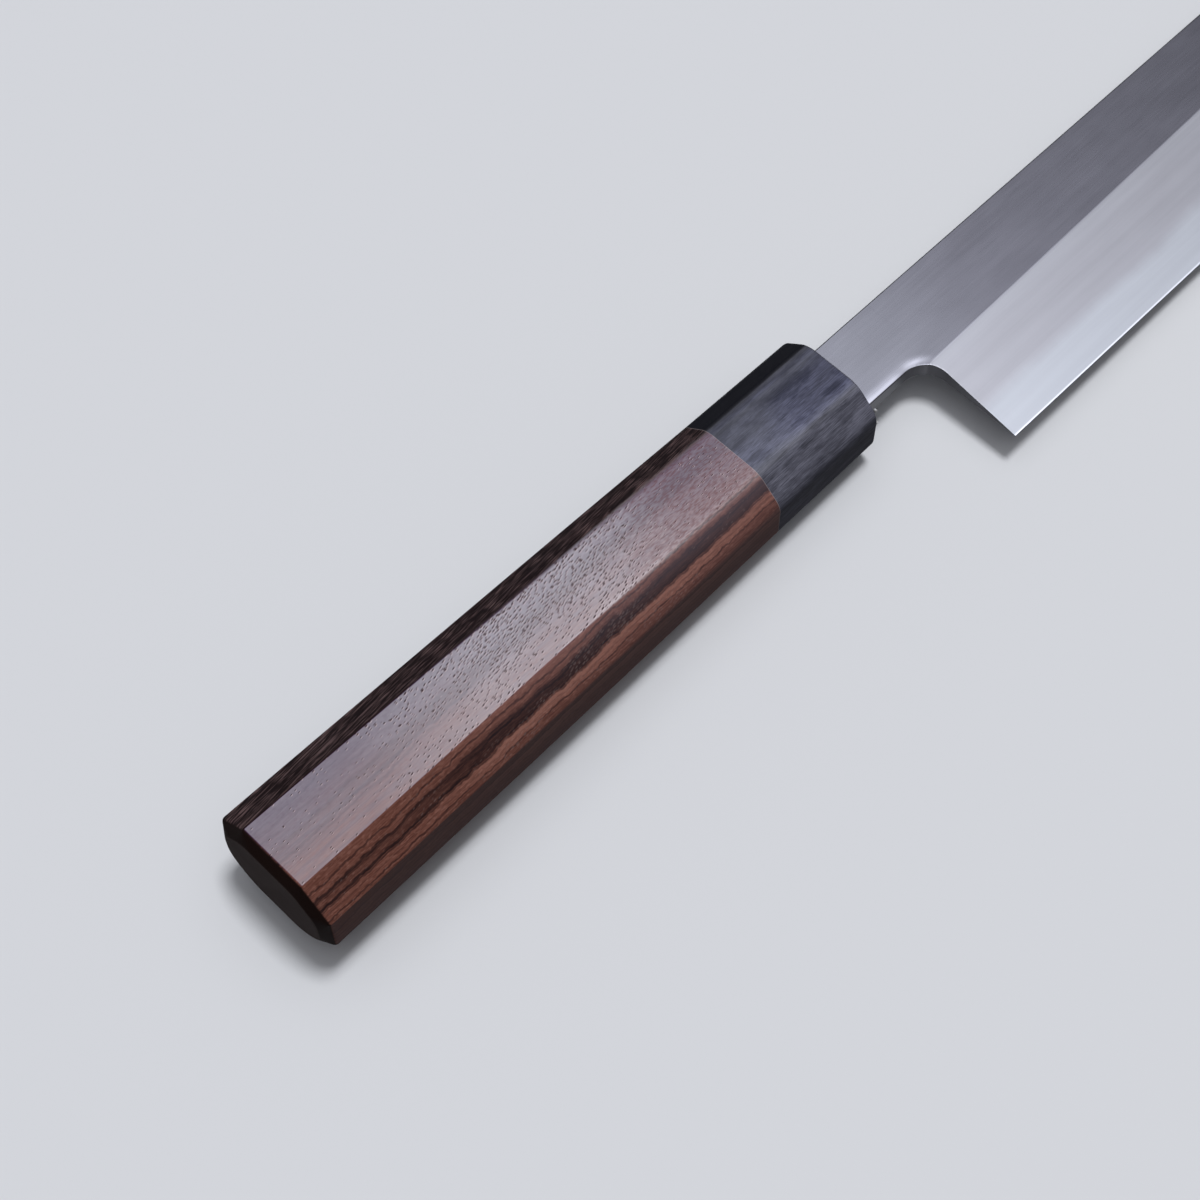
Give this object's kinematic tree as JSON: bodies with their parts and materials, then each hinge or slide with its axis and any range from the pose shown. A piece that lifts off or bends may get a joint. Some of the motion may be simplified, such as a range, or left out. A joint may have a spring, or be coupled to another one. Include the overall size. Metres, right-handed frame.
{
  "type": "mukimono knife",
  "caption": "Right-handed vegetable peeling knife: clipped single-bevel blade with a hollow back, black ferrule and tapering octagonal wooden handle.",
  "frame": {"origin": "middle of the butt face, on the handle's axis", "axes": "+X along the handle towards the point, -Y towards the cutting edge, +Z out of the bevelled face; the flat back of the blade is level"},
  "size_m": [0.327, 0.0412, 0.0194],
  "materials": {
    "soft_iron": "satin ground, fine lines along the blade",
    "hard_steel": "bright fine-ground, hazy towards the weld line",
    "black_pakkawood": "satin, fine lengthwise striations",
    "rosewood": "oiled satin, dark streaks and short open pores",
    "pale_hardwood": "bare turned wood",
    "amber_resin": "set resin",
    "clear_resin": "set resin"
  },
  "bodies": {
    "root": {"blade_soft_iron": "soft_iron", "blade_hard_steel": "hard_steel", "ferrule": "black_pakkawood", "handle_body": "rosewood", "joining_dowel": "pale_hardwood", "tang_bedding": "amber_resin", "mouth_seal": "clear_resin"}
  },
  "joints": []
}
